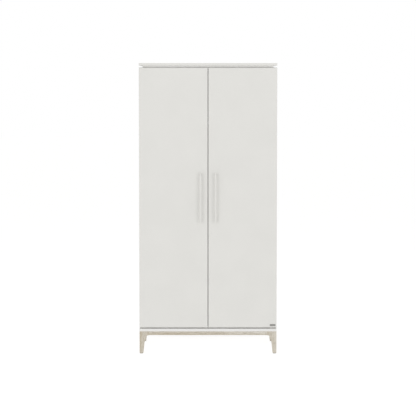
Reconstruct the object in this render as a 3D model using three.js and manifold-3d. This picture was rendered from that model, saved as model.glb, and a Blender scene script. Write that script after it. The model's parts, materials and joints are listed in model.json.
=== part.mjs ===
// A free-standing two-door nursery wardrobe: a white lacquered carcass and doors on a low oak leg frame.
// Millimetres, +Z up. The front faces -Y and the left side is at -X. The origin is on the floor, at the
// centre of the bounding box. Every board, leg, rail and hinge piece is its own mesh.

import * as THREE from "three";
import { mergeVertices } from "three/addons/utils/BufferGeometryUtils.js";
import Module from "manifold-3d";

const wasm = await Module();
wasm.setup();

// ---------------------------------------------------------------- driving dimensions

const WIDTH = 945;
const HEIGHT = 2000;
const BODY_DEPTH = 550; // from the doors' front faces to the back edges of the sides
const BOARD = 18; // all carcass boards and the doors

const HANDLE_PROJECTION = 30;
const HANDLE_LENGTH = 340;
const HANDLE_POST_SPACING = 320;
const HANDLE_HEIGHT = 1078; // middle of the handle, from the floor
const HANDLE_FROM_MIDDLE = 52;
const HANDLE_BAR_WIDTH = 8;
const HANDLE_BAR_THICKNESS = 12;
const HANDLE_CORNER = 2.5;
const HANDLE_POST_RADIUS = 4;

const GLIDE_HEIGHT = 4;
const GLIDE_RADIUS = 12;
const LEG_TOP = 155; // height of the leg frame
const LEG_FOOT_WIDTH = 26;
const LEG_KNEE_WIDTH = 36.5;
const LEG_KNEE_RADIUS = 28; // the hollow curve from the leg into the rail
const LEG_FRONT_INSET = 8; // leg frame behind the doors' front faces
const RAIL_HEIGHT = 28;
const RAIL_THICKNESS = 22;
const RAIL_SETBACK = 1; // rails behind the legs' outer faces

const RECESS_HEIGHT = 12; // shadow gap under the top panel
const RECESS_FRONT_INSET = 14;
const RECESS_SIDE_INSET = 26;

const DOOR_GAP_BOTTOM = 11;
const DOOR_GAP_TOP = 2; // door's top edge below the top of the sides
const DOOR_GAP_MIDDLE = 4;
const DOOR_GAP_BACK = 3.5; // between the doors and the carcass front
const DOOR_EDGE_RADIUS = 2;

const BACK_BOARD = 3;
const BACK_INSET = 8; // back board in from the rear edges of the sides
const BACK_BOARD_CLEARANCE = 0.5; // round the back boards where they are not in a groove
const GROOVE_DEPTH = 7;
const GROOVE_WIDTH = 3.6;

const SHELF_SETBACK = 23; // shelf edges behind the carcass front
const SHELF_UNDERSIDES = { lower_shelf: 444, middle_shelf: 720, hat_shelf: 1640 };
const SHELF_END_GAP = 0.5;
const SHELF_BACK_GAP = 3; // room for the joining strip
const PIN_HOLE_RADIUS = 2.5;
const PIN_HOLE_DEPTH = 10;
const PIN_HOLE_PITCH = 32;
const PIN_HOLE_STEPS = [-2, -1, 0, 1, 2];
const PIN_HOLE_INSET = 60; // from the shelf's front and back edges

const CLOTHES_RAIL = { y: 20, z: 1590, halfHeight: 15, halfThickness: 7.5, wall: 1.2 };
const SOCKET = { depth: 12, floor: 2, wall: 3.2, play: 0.3 };

const HINGE_HEIGHTS = [290, 800, 1330, 1860];
// The hinge plan, measured inwards from the door's outer edge and forwards from its back face.
const PIVOT_IN = 9;
const PIVOT_FORWARD = 9;
const CUP_CENTRE_IN = 21;
const CUP_RADIUS = 17.5;
const CUP_WALL = 1.7;
const CUP_DEPTH = 13;
const CUP_FLOOR = 1;
const CUP_RIM_RADIUS = 18.5;
const CUP_PLAY = 0.3; // all round, in its bore in the door
const FLANGE_THICKNESS = 1.2;
const FLANGE_HALF_LENGTH = 30;
const FLANGE_IN = [21, 38];
const PIN_RADIUS = 1.5;
const PIN_HALF_LENGTH = 11.5;
const KNUCKLE_RADIUS = 2.6;
const KNUCKLE_BORE = 1.8;
const ARM = { halfWidth: 5, back: 58, neck: 3, thickness: 6.5, bend: 2.5, play: 0.3 };
const ARM_STEP = [4, 9]; // the arm thickens between these distances behind the door
const PLATE_THICKNESS = 3.2;
const PLATE_SCREW_BACK = 37; // screw line behind the carcass front
const PLATE_WING = { halfLength: 23, halfWidth: 8, corner: 7.5 };
const PLATE_SPINE = { front: 18, back: 62, halfWidth: 8 };

const NAMEPLATE = { width: 39, height: 14, thickness: 1, fromEdge: 7.5, aboveEdge: 7.5 };
const WALL_BRACKET = { x: 300, width: 30, leaf: 40, thickness: 2, holeRadius: 2.6, play: 0.2 };

const ROUND = 24; // sides of a large circle
const FINE = 16; // sides of a small circle

// ---------------------------------------------------------------- places worked out from them

const HALF = WIDTH / 2;
const TOTAL_DEPTH = BODY_DEPTH + HANDLE_PROJECTION;
const BACK = TOTAL_DEPTH / 2;
const DOOR_FRONT = BACK - BODY_DEPTH;
const DOOR_BACK = DOOR_FRONT + BOARD;
const CARCASS_FRONT = DOOR_BACK + DOOR_GAP_BACK;
const INNER = HALF - BOARD; // inner face of a side

const BASE_TOP = LEG_TOP + BOARD; // upper face of the bottom panel
const TOP_UNDERSIDE = HEIGHT - BOARD;
const SIDE_TOP = TOP_UNDERSIDE - RECESS_HEIGHT;
const DOOR_BOTTOM = BASE_TOP + DOOR_GAP_BOTTOM;
const DOOR_TOP = SIDE_TOP - DOOR_GAP_TOP;

const BACK_BOARD_REAR = BACK - BACK_INSET;
const BACK_BOARD_FRONT = BACK_BOARD_REAR - BACK_BOARD;
const GROOVE_PLAY = (GROOVE_WIDTH - BACK_BOARD) / 2;
const SHELF_FRONT = CARCASS_FRONT + SHELF_SETBACK;
const SHELF_BACK = BACK_BOARD_FRONT - SHELF_BACK_GAP;

// ---------------------------------------------------------------- materials

const paint = (color, roughness, metalness = 0) =>
  new THREE.MeshStandardMaterial({ color, roughness, metalness });

const lacquer = paint(0xe0dfdb, 0.45);
const melamine = paint(0xe6e5e2, 0.55);
const hardboard = paint(0xe2e1dd, 0.6);
const oak = paint(0xc4bba8, 0.6);
const handlePaint = paint(0xe2e1dd, 0.4);
const nickel = paint(0xb9b8b4, 0.3, 1);
const zinc = paint(0xa9a9a7, 0.4, 1);
const chrome = paint(0xc6c8ca, 0.15, 1);
const plastic = paint(0xd9d8d4, 0.5);
const felt = paint(0x8d8984, 0.95);
const plate = paint(0x8f8e8a, 0.35, 1);

// ---------------------------------------------------------------- shape helpers

const wardrobe = new THREE.Group();

function add(name, geometry, material, parent = wardrobe) {
  const mesh = new THREE.Mesh(geometry, material);
  mesh.name = name;
  parent.add(mesh);
  return mesh;
}

/** A box between two corners. */
function box([x0, y0, z0], [x1, y1, z1]) {
  const geometry = new THREE.BoxGeometry(x1 - x0, y1 - y0, z1 - z0);
  return geometry.translate((x0 + x1) / 2, (y0 + y1) / 2, (z0 + z1) / 2);
}

/** A closed geometry as a solid that can be cut and joined. */
function solid(geometry) {
  const bare = geometry.clone();
  bare.deleteAttribute("normal");
  bare.deleteAttribute("uv");
  const merged = mergeVertices(bare, 1e-4);
  return new wasm.Manifold(
    new wasm.Mesh({
      numProp: 3,
      vertProperties: merged.attributes.position.array,
      triVerts: new Uint32Array(merged.index.array),
    }),
  );
}

function geometryOf(manifold) {
  const mesh = manifold.getMesh();
  return new THREE.BufferGeometry()
    .setAttribute("position", new THREE.BufferAttribute(mesh.vertProperties, 3))
    .setIndex(new THREE.BufferAttribute(mesh.triVerts, 1));
}

/** A shape drawn in plan, raised from z0 to z1. */
function raise(shape, z0, z1, curveSegments = 6) {
  const geometry = new THREE.ExtrudeGeometry(shape, {
    depth: z1 - z0,
    bevelEnabled: false,
    curveSegments,
  });
  return geometry.translate(0, 0, z0);
}

/** A shape drawn with its x along Y and its y along Z, thickened from x0 to x1. */
function thicken(shape, x0, x1, curveSegments = 6) {
  const turned = new THREE.Matrix4().makeBasis(
    new THREE.Vector3(0, 1, 0),
    new THREE.Vector3(0, 0, 1),
    new THREE.Vector3(1, 0, 0),
  );
  return raise(shape, 0, x1 - x0, curveSegments).applyMatrix4(turned).translate(x0, 0, 0);
}

function roundedRectangle(x0, y0, x1, y1, r) {
  const shape = new THREE.Shape();
  shape.moveTo(x0 + r, y0);
  shape.lineTo(x1 - r, y0);
  shape.absarc(x1 - r, y0 + r, r, -Math.PI / 2, 0);
  shape.lineTo(x1, y1 - r);
  shape.absarc(x1 - r, y1 - r, r, 0, Math.PI / 2);
  shape.lineTo(x0 + r, y1);
  shape.absarc(x0 + r, y1 - r, r, Math.PI / 2, Math.PI);
  shape.lineTo(x0, y0 + r);
  shape.absarc(x0 + r, y0 + r, r, Math.PI, 1.5 * Math.PI);
  return shape;
}

/** A flat oval in the Y-Z plane, such as the section of the clothes rail. */
function oval(halfThickness, halfHeight) {
  const straight = halfHeight - halfThickness;
  const shape = new THREE.Shape();
  shape.moveTo(halfThickness, -straight);
  shape.lineTo(halfThickness, straight);
  shape.absarc(0, straight, halfThickness, 0, Math.PI);
  shape.lineTo(-halfThickness, -straight);
  shape.absarc(0, -straight, halfThickness, Math.PI, 2 * Math.PI);
  return shape;
}

/** A cylinder along X, Y or Z between two places on that axis. */
function rod(axis, radius, from, to, sides = FINE) {
  const geometry = new THREE.CylinderGeometry(radius, radius, to - from, sides);
  if (axis === "x") geometry.rotateZ(-Math.PI / 2).translate((from + to) / 2, 0, 0);
  if (axis === "y") geometry.translate(0, (from + to) / 2, 0);
  if (axis === "z") geometry.rotateX(Math.PI / 2).translate(0, 0, (from + to) / 2);
  return geometry;
}

const SIDES = [
  { side: "left", sign: -1 },
  { side: "right", sign: 1 },
];

// ---------------------------------------------------------------- leg frame

/** Outline of a leg seen from the front: straight outer edge, tapered and hollow-curved inner edge. */
function legOutline() {
  const railUnderside = LEG_TOP - RAIL_HEIGHT;
  const blockWidth = LEG_KNEE_WIDTH + LEG_KNEE_RADIUS;
  const shape = new THREE.Shape();
  shape.moveTo(0, GLIDE_HEIGHT);
  shape.lineTo(LEG_FOOT_WIDTH, GLIDE_HEIGHT);
  shape.lineTo(LEG_KNEE_WIDTH, railUnderside - LEG_KNEE_RADIUS);
  shape.absarc(blockWidth, railUnderside - LEG_KNEE_RADIUS, LEG_KNEE_RADIUS, Math.PI, Math.PI / 2, true);
  shape.lineTo(blockWidth, LEG_TOP);
  shape.lineTo(0, LEG_TOP);
  return shape;
}

/** A leg with its outer corner at x = 0, y = 0, tapering alike on both inner faces. */
function legGeometry() {
  const blockWidth = LEG_KNEE_WIDTH + LEG_KNEE_RADIUS;
  const upright = new THREE.Matrix4().makeBasis(
    new THREE.Vector3(1, 0, 0),
    new THREE.Vector3(0, 0, 1),
    new THREE.Vector3(0, -1, 0),
  );
  const across = raise(legOutline(), 0, blockWidth).applyMatrix4(upright).translate(0, blockWidth, 0);
  const along = thicken(legOutline(), 0, blockWidth);
  return geometryOf(solid(across).intersect(solid(along)));
}

const LEG_BLOCK = LEG_KNEE_WIDTH + LEG_KNEE_RADIUS;
const LEG_FRONT = DOOR_FRONT + LEG_FRONT_INSET;
const FOOT_MIDDLE = LEG_FOOT_WIDTH / 2;

for (const { side, sign } of SIDES) {
  for (const [end, y, inward] of [["front", LEG_FRONT, 1], ["back", BACK, -1]]) {
    const leg = add(`leg_${end}_${side}`, legGeometry(), oak);
    leg.scale.set(-sign, inward, 1);
    leg.position.set(sign * HALF, y, 0);
    const glide = rod("z", GLIDE_RADIUS, 0, GLIDE_HEIGHT, ROUND);
    glide.translate(sign * (HALF - FOOT_MIDDLE), y + inward * FOOT_MIDDLE, 0);
    add(`glide_${end}_${side}`, glide, felt);
  }
}

const RAIL_BOTTOM = LEG_TOP - RAIL_HEIGHT;
const RAIL_END = HALF - LEG_BLOCK;
for (const [end, y, inward] of [["front", LEG_FRONT, 1], ["back", BACK, -1]]) {
  const faces = [y + inward * RAIL_SETBACK, y + inward * (RAIL_SETBACK + RAIL_THICKNESS)];
  faces.sort((a, b) => a - b);
  add(
    `frame_rail_${end}`,
    box([-RAIL_END, faces[0], RAIL_BOTTOM], [RAIL_END, faces[1], LEG_TOP]),
    oak,
  );
}
for (const { side, sign } of SIDES) {
  const faces = [sign * (HALF - RAIL_SETBACK), sign * (HALF - RAIL_SETBACK - RAIL_THICKNESS)];
  faces.sort((a, b) => a - b);
  add(
    `frame_rail_${side}`,
    box([faces[0], LEG_FRONT + LEG_BLOCK, RAIL_BOTTOM], [faces[1], BACK - LEG_BLOCK, LEG_TOP]),
    oak,
  );
}

// ---------------------------------------------------------------- carcass

add("bottom_panel", box([-HALF, DOOR_FRONT, LEG_TOP], [HALF, BACK, BASE_TOP]), lacquer);
add("top_panel", box([-HALF, DOOR_FRONT, TOP_UNDERSIDE], [HALF, BACK, HEIGHT]), lacquer);
add(
  "top_spacer",
  box(
    [-HALF + RECESS_SIDE_INSET, DOOR_FRONT + RECESS_FRONT_INSET, SIDE_TOP],
    [HALF - RECESS_SIDE_INSET, BACK - RECESS_SIDE_INSET, TOP_UNDERSIDE],
  ),
  lacquer,
);
for (const [name, underside] of [["carcass_floor", BASE_TOP], ["carcass_top", SIDE_TOP - BOARD]]) {
  const rear = BACK_BOARD_FRONT - BACK_BOARD_CLEARANCE;
  add(name, box([-INNER, CARCASS_FRONT, underside], [INNER, rear, underside + BOARD]), melamine);
}

/** Plan of the left side, with the groove for the back board in its inner face. */
function sidePlan() {
  const grooveFront = BACK_BOARD_FRONT - GROOVE_PLAY;
  const shape = new THREE.Shape();
  shape.moveTo(-HALF, CARCASS_FRONT);
  shape.lineTo(-INNER, CARCASS_FRONT);
  shape.lineTo(-INNER, grooveFront);
  shape.lineTo(-INNER - GROOVE_DEPTH, grooveFront);
  shape.lineTo(-INNER - GROOVE_DEPTH, grooveFront + GROOVE_WIDTH);
  shape.lineTo(-INNER, grooveFront + GROOVE_WIDTH);
  shape.lineTo(-INNER, BACK);
  shape.lineTo(-HALF, BACK);
  return shape;
}

/** The left side with its two columns of shelf-pin holes at each adjustable shelf. */
function sideGeometry() {
  let side = solid(raise(sidePlan(), BASE_TOP, SIDE_TOP));
  for (const shelf of ["lower_shelf", "middle_shelf"]) {
    for (const step of PIN_HOLE_STEPS) {
      for (const y of [SHELF_FRONT + PIN_HOLE_INSET, SHELF_BACK - PIN_HOLE_INSET]) {
        const z = SHELF_UNDERSIDES[shelf] - PIN_HOLE_RADIUS + step * PIN_HOLE_PITCH;
        const hole = rod("x", PIN_HOLE_RADIUS, -INNER - PIN_HOLE_DEPTH, -INNER + 1, 10);
        side = side.subtract(solid(hole.translate(0, y, z)));
      }
    }
  }
  return geometryOf(side);
}

for (const { side, sign } of SIDES) {
  add(`side_panel_${side}`, sideGeometry(), lacquer).scale.x = -sign;
}

// Two halves of hardboard slide into the grooves and meet in a plastic H-strip.
const JOINER_WEB = 0.75;
const JOINER_FLANGE = 9;
const JOINER_THICKNESS = 1.2;
const BACK_BOTTOM = BASE_TOP + BACK_BOARD_CLEARANCE;
const BACK_TOP = SIDE_TOP - BACK_BOARD_CLEARANCE;
for (const { side, sign } of SIDES) {
  const edges = [
    sign * (JOINER_WEB + GROOVE_PLAY),
    sign * (INNER + GROOVE_DEPTH - BACK_BOARD_CLEARANCE),
  ];
  edges.sort((a, b) => a - b);
  add(
    `back_board_${side}`,
    box([edges[0], BACK_BOARD_FRONT, BACK_BOTTOM], [edges[1], BACK_BOARD_REAR, BACK_TOP]),
    hardboard,
  );
}

function joinerPlan() {
  const front = BACK_BOARD_FRONT - GROOVE_PLAY;
  const rear = BACK_BOARD_REAR + GROOVE_PLAY;
  const shape = new THREE.Shape();
  shape.moveTo(-JOINER_FLANGE, front - JOINER_THICKNESS);
  shape.lineTo(JOINER_FLANGE, front - JOINER_THICKNESS);
  shape.lineTo(JOINER_FLANGE, front);
  shape.lineTo(JOINER_WEB, front);
  shape.lineTo(JOINER_WEB, rear);
  shape.lineTo(JOINER_FLANGE, rear);
  shape.lineTo(JOINER_FLANGE, rear + JOINER_THICKNESS);
  shape.lineTo(-JOINER_FLANGE, rear + JOINER_THICKNESS);
  shape.lineTo(-JOINER_FLANGE, rear);
  shape.lineTo(-JOINER_WEB, rear);
  shape.lineTo(-JOINER_WEB, front);
  shape.lineTo(-JOINER_FLANGE, front);
  return shape;
}
const JOINER_BOTTOM = BASE_TOP + BOARD + BACK_BOARD_CLEARANCE;
const JOINER_TOP = SIDE_TOP - BOARD - BACK_BOARD_CLEARANCE;
add("back_joining_strip", raise(joinerPlan(), JOINER_BOTTOM, JOINER_TOP), plastic);

// ---------------------------------------------------------------- inside

for (const [name, z] of Object.entries(SHELF_UNDERSIDES)) {
  const end = INNER - SHELF_END_GAP;
  add(name, box([-end, SHELF_FRONT, z], [end, SHELF_BACK, z + BOARD]), melamine);
}

function clothesRail() {
  const { halfThickness, halfHeight, wall } = CLOTHES_RAIL;
  const section = oval(halfThickness, halfHeight);
  section.holes.push(oval(halfThickness - wall, halfHeight - wall));
  const end = INNER - SOCKET.floor - SOCKET.play;
  return thicken(section, -end, end, 8).translate(0, CLOTHES_RAIL.y, CLOTHES_RAIL.z);
}
add("clothes_rail", clothesRail(), chrome);

/** The left end cup that the clothes rail sits in, screwed to the side. */
function railSocket() {
  const { halfThickness, halfHeight } = CLOTHES_RAIL;
  const { depth, floor, wall, play } = SOCKET;
  const outer = thicken(oval(halfThickness + wall, halfHeight + wall), -INNER, -INNER + depth, 8);
  const inner = thicken(
    oval(halfThickness + play, halfHeight + play),
    -INNER + floor,
    -INNER + depth + 1,
    8,
  );
  const cup = geometryOf(solid(outer).subtract(solid(inner)));
  return cup.translate(0, CLOTHES_RAIL.y, CLOTHES_RAIL.z);
}
for (const { side, sign } of SIDES) {
  add(`rail_socket_${side}`, railSocket(), nickel).scale.x = -sign;
}

/** An angle bracket under the carcass top, for the screw that ties the wardrobe to the wall. */
function wallBracket() {
  const { width, leaf, thickness, holeRadius, play } = WALL_BRACKET;
  const rear = BACK_BOARD_FRONT - play;
  const under = SIDE_TOP - BOARD;
  const shape = new THREE.Shape();
  shape.moveTo(rear, under - leaf);
  shape.lineTo(rear, under);
  shape.lineTo(rear - leaf, under);
  shape.lineTo(rear - leaf, under - thickness);
  shape.lineTo(rear - thickness, under - thickness);
  shape.lineTo(rear - thickness, under - leaf);
  const angle = solid(thicken(shape, -width / 2, width / 2));
  const wallHole = rod("y", holeRadius, rear - leaf / 2, rear + 1, 12);
  const boardHole = rod("z", holeRadius, under - leaf / 2, under + 1, 12);
  return geometryOf(
    angle
      .subtract(solid(wallHole.translate(0, 0, under - leaf / 2)))
      .subtract(solid(boardHole.translate(0, rear - leaf / 2, 0))),
  );
}
for (const { side, sign } of SIDES) {
  add(`wall_bracket_${side}`, wallBracket(), zinc).position.x = sign * WALL_BRACKET.x;
}

// ---------------------------------------------------------------- doors

const OUTER_TO_MIDDLE = HALF - DOOR_GAP_MIDDLE / 2; // width of one door
const CUP_MIDDLE = -HALF + CUP_CENTRE_IN;

/** The left door, with a blind bore for each hinge cup in its back face. */
function doorGeometry() {
  const plan = roundedRectangle(
    -HALF,
    DOOR_FRONT,
    -HALF + OUTER_TO_MIDDLE,
    DOOR_BACK,
    DOOR_EDGE_RADIUS,
  );
  let door = solid(raise(plan, DOOR_BOTTOM, DOOR_TOP, 3));
  const bore = CUP_RADIUS + CUP_PLAY;
  for (const z of HINGE_HEIGHTS) {
    const cutter = rod("y", bore, DOOR_BACK - CUP_DEPTH - CUP_PLAY, DOOR_BACK + 1, ROUND);
    door = door.subtract(solid(cutter.translate(CUP_MIDDLE, 0, z)));
  }
  return geometryOf(door);
}

/** A slim bar on two posts, standing upright in front of the door. */
function handleGeometry() {
  const barFront = DOOR_FRONT - HANDLE_PROJECTION;
  const barBack = barFront + HANDLE_BAR_THICKNESS;
  const halfWidth = HANDLE_BAR_WIDTH / 2;
  const plan = roundedRectangle(-halfWidth, barFront, halfWidth, barBack, HANDLE_CORNER);
  const bottom = HANDLE_HEIGHT - HANDLE_LENGTH / 2;
  let handle = solid(raise(plan, bottom, bottom + HANDLE_LENGTH, 4));
  for (const end of [-1, 1]) {
    const post = rod("y", HANDLE_POST_RADIUS, barBack - 1, DOOR_FRONT, FINE);
    const z = HANDLE_HEIGHT + (end * HANDLE_POST_SPACING) / 2;
    handle = handle.add(solid(post.translate(0, 0, z)));
  }
  return geometryOf(handle);
}

for (const { side, sign } of SIDES) {
  add(`door_${side}`, doorGeometry(), lacquer).scale.x = -sign;
  add(`handle_${side}`, handleGeometry(), handlePaint).position.x = sign * HANDLE_FROM_MIDDLE;
}

function nameplate() {
  const { width, height, thickness, fromEdge, aboveEdge } = NAMEPLATE;
  const x1 = HALF - fromEdge;
  const z0 = DOOR_BOTTOM + aboveEdge;
  return box([x1 - width, DOOR_FRONT - thickness, z0], [x1, DOOR_FRONT, z0 + height]);
}
add("blank_nameplate", nameplate(), plate);

// ---------------------------------------------------------------- hinges
// A 35 mm cup in the door holds a vertical pin. A cranked arm reaches into the cup and turns on that pin,
// and the arm is screwed to a mounting plate on the side. Drawn for the left door, mirrored for the right.

/** A plan point, given inwards from the door's outer edge and forwards from its back face. */
const hingePoint = (inward, forward) => [-HALF + inward, DOOR_BACK - forward];

/** The cup with its rim flange and the pin riveted across it. */
function cupGeometry() {
  const hollow = CUP_RADIUS - CUP_WALL;
  const mouth = DOOR_BACK + FLANGE_THICKNESS;
  const flange = box(
    [-HALF + FLANGE_IN[0], DOOR_BACK, -FLANGE_HALF_LENGTH],
    [-HALF + FLANGE_IN[1], mouth, FLANGE_HALF_LENGTH],
  );
  const rim = rod("y", CUP_RIM_RADIUS, DOOR_BACK, mouth, ROUND).translate(CUP_MIDDLE, 0, 0);
  const wall = rod("y", CUP_RADIUS, DOOR_BACK - CUP_DEPTH, mouth, ROUND).translate(CUP_MIDDLE, 0, 0);
  const inside = rod("y", hollow, DOOR_BACK - CUP_DEPTH + CUP_FLOOR, mouth + 1, ROUND);
  const [pinX, pinY] = hingePoint(PIVOT_IN, PIVOT_FORWARD);
  const pin = rod("z", PIN_RADIUS, -PIN_HALF_LENGTH, PIN_HALF_LENGTH).translate(pinX, pinY, 0);
  return geometryOf(
    solid(wall)
      .add(solid(rim))
      .add(solid(flange))
      .subtract(solid(inside.translate(CUP_MIDDLE, 0, 0)))
      .add(solid(pin)),
  );
}

/** The cranked arm in plan: a knuckle round the pin, a neck out of the cup, and a straight body. */
function armPlan() {
  const [pinX, pinY] = hingePoint(PIVOT_IN, PIVOT_FORWARD);
  const { back, neck, thickness, bend, play } = ARM;
  const underNeck = PIVOT_FORWARD + play;
  const overNeck = PIVOT_FORWARD + KNUCKLE_RADIUS;
  const bodyOuter = BOARD + PLATE_THICKNESS + play;
  const neckInner = bodyOuter + neck;
  const bodyInner = bodyOuter + thickness;
  const shape = new THREE.Shape();
  shape.moveTo(...hingePoint(PIVOT_IN, overNeck));
  shape.lineTo(...hingePoint(neckInner - bend, overNeck));
  shape.absarc(...hingePoint(neckInner - bend, overNeck - bend), bend, -Math.PI / 2, 0);
  shape.lineTo(...hingePoint(neckInner, -ARM_STEP[0]));
  shape.lineTo(...hingePoint(bodyInner, -ARM_STEP[1]));
  shape.lineTo(...hingePoint(bodyInner, -back));
  shape.lineTo(...hingePoint(bodyOuter, -back));
  shape.lineTo(...hingePoint(bodyOuter, underNeck));
  const neckAngle = Math.asin(play / KNUCKLE_RADIUS);
  shape.absarc(pinX, pinY, KNUCKLE_RADIUS, -neckAngle, -Math.PI / 2, false);
  const bore = new THREE.Path();
  bore.absarc(pinX, pinY, KNUCKLE_BORE, 0, 2 * Math.PI);
  shape.holes.push(bore);
  return shape;
}

/** A cross-shaped plate on the inner face of the side, with wings above and below for its screws. */
function mountingPlate() {
  const screwLine = CARCASS_FRONT + PLATE_SCREW_BACK;
  const x0 = -INNER;
  const x1 = x0 + PLATE_THICKNESS;
  const wing = roundedRectangle(
    screwLine - PLATE_WING.halfWidth,
    -PLATE_WING.halfLength,
    screwLine + PLATE_WING.halfWidth,
    PLATE_WING.halfLength,
    PLATE_WING.corner,
  );
  const spine = box(
    [x0, DOOR_BACK + PLATE_SPINE.front, -PLATE_SPINE.halfWidth],
    [x1, DOOR_BACK + PLATE_SPINE.back, PLATE_SPINE.halfWidth],
  );
  return geometryOf(solid(thicken(wing, x0, x1, 4)).add(solid(spine)));
}

for (const { side, sign } of SIDES) {
  HINGE_HEIGHTS.forEach((z, index) => {
    const hinge = new THREE.Group();
    hinge.scale.x = -sign;
    hinge.position.z = z;
    wardrobe.add(hinge);
    const number = index + 1;
    add(`hinge_cup_${side}_${number}`, cupGeometry(), nickel, hinge);
    add(`hinge_arm_${side}_${number}`, raise(armPlan(), -ARM.halfWidth, ARM.halfWidth), nickel, hinge);
    add(`hinge_plate_${side}_${number}`, mountingPlate(), nickel, hinge);
  });
}

export default wardrobe;
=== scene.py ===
# %% [markdown]
# # A wardrobe with two doors
# The wardrobe is a white lacquered cabinet on a low oak frame with four tapered legs. Two tall
# doors hang on concealed hinges, and each has a slim bar handle. The file loaded below holds
# every board, leg and hinge piece at its real size, so this lesson only gives each one its
# finished shape and its finish, and adds the small fittings that are too many to be parts of
# their own: screws, shelf pins, caps and bumpers.

# %% Load the frame
import json

import bmesh
import bpy
import numpy as np
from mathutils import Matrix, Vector

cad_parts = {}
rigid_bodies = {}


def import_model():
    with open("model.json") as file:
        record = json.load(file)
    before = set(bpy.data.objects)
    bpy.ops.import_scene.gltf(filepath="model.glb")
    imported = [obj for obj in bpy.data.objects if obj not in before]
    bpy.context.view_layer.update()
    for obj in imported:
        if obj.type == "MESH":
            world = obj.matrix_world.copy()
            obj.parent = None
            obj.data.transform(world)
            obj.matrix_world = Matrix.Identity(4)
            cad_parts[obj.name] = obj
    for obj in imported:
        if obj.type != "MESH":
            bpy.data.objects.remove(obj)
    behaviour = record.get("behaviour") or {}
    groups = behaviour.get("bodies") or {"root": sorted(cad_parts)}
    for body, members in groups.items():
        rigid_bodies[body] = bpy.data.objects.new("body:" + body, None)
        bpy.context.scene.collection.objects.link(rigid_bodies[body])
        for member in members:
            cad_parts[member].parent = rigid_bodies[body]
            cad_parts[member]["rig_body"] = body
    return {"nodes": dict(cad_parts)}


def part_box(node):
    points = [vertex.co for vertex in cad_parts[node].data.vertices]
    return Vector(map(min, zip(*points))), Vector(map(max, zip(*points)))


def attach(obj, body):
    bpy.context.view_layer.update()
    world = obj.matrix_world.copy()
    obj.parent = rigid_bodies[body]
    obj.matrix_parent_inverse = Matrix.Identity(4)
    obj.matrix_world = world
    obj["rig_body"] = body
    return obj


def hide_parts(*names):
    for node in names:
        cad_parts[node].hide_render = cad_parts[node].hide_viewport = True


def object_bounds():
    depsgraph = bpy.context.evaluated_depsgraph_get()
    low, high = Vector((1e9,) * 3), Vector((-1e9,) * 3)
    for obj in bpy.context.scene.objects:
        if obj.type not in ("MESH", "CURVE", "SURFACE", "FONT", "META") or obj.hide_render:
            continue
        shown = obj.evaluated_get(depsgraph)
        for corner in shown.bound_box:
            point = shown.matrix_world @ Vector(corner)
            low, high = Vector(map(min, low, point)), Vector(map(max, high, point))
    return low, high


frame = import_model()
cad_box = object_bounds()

MM = 0.001  # a millimetre in metres
SIDES = {"left": -1, "right": 1}  # which way each side lies along x
BODY = {"left": "left_door", "right": "right_door"}

# %% [markdown]
# ## Camera
# The wardrobe is seen square on from far away, so its upright edges stay nearly parallel. A
# long lens does that. A large lens shift would make them exactly parallel, but it would push
# the wardrobe off centre in every other view. So the camera, which stands a little lower than
# the top, is mostly tilted down and only slightly shifted.

# %% Camera
CAMERA_DISTANCE = 11.14  # metres from the doors' front faces
CAMERA_HEIGHT = 1.92  # metres from the floor
LENS = 141.0  # millimetres
SHIFT = -0.04
AIM_ABOVE_MIDDLE = 8.8 * MM

middle_height = (cad_box[0].z + cad_box[1].z) / 2
door_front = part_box("door_left")[0].y
lens = bpy.data.cameras.new("long_lens")
lens.lens = LENS
lens.shift_y = SHIFT
camera = bpy.data.objects.new("camera", lens)
bpy.context.scene.collection.objects.link(camera)
bpy.context.scene.camera = camera
fall = np.arctan((CAMERA_HEIGHT - middle_height - AIM_ABOVE_MIDDLE) / CAMERA_DISTANCE)
tilt = fall - np.arctan(-SHIFT * lens.sensor_width / LENS)
camera.location = (0, door_front - CAMERA_DISTANCE, CAMERA_HEIGHT)
camera.rotation_euler = (np.pi / 2 - tilt, 0, 0)
print("camera tilted down by", round(np.degrees(tilt), 2), "degrees")

# %% [markdown]
# ## Studio
# A white wardrobe on white needs light that is soft but not the same from all sides, or its
# edges vanish. The room is shown to the camera as plain white, but it lights the wardrobe a
# little less strongly, so that the lamps can still shape it. A light path node tells the two
# uses apart.

# %% White room
ROOM_LIGHT = 0.6
WHITE = (1, 1, 1, 1)

scene = bpy.context.scene
scene.view_settings.view_transform = "Standard"
room = bpy.data.worlds.new("white_room")
room.use_nodes = True
scene.world = room
nodes = room.node_tree.nodes
background = nodes["Background"]
background.inputs["Color"].default_value = WHITE
background.inputs["Strength"].default_value = ROOM_LIGHT
backdrop = nodes.new("ShaderNodeBackground")
backdrop.inputs["Color"].default_value = WHITE
seen = nodes.new("ShaderNodeLightPath")
choose = nodes.new("ShaderNodeMixShader")
room.node_tree.links.new(seen.outputs["Is Camera Ray"], choose.inputs[0])
room.node_tree.links.new(background.outputs[0], choose.inputs[1])
room.node_tree.links.new(backdrop.outputs[0], choose.inputs[2])
room.node_tree.links.new(choose.outputs[0], nodes["World Output"].inputs["Surface"])
print("the room lights the wardrobe at", ROOM_LIGHT, "of the white that is seen")

# %% [markdown]
# ## Lamps
# A wide soft light hangs overhead and two smaller ones stand in front. The left one is a little
# stronger, so the two doors differ by a hair and the handles' shadows fall mostly to one side.
# Area lights give soft shadows because they are large, like the softboxes that they stand for.

# %% Lamps


def lamp(name, at, aim, size, watts):
    """A square soft light at a place, turned to face the point it aims at."""
    light = bpy.data.lights.new(name, "AREA")
    light.size = size
    light.energy = watts
    thing = bpy.data.objects.new(name, light)
    thing.location = at
    thing.rotation_euler = (Vector(aim) - Vector(at)).to_track_quat("-Z", "Y").to_euler()
    scene.collection.objects.link(thing)
    print(name, "is", size, "m wide and gives", watts, "W")


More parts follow.
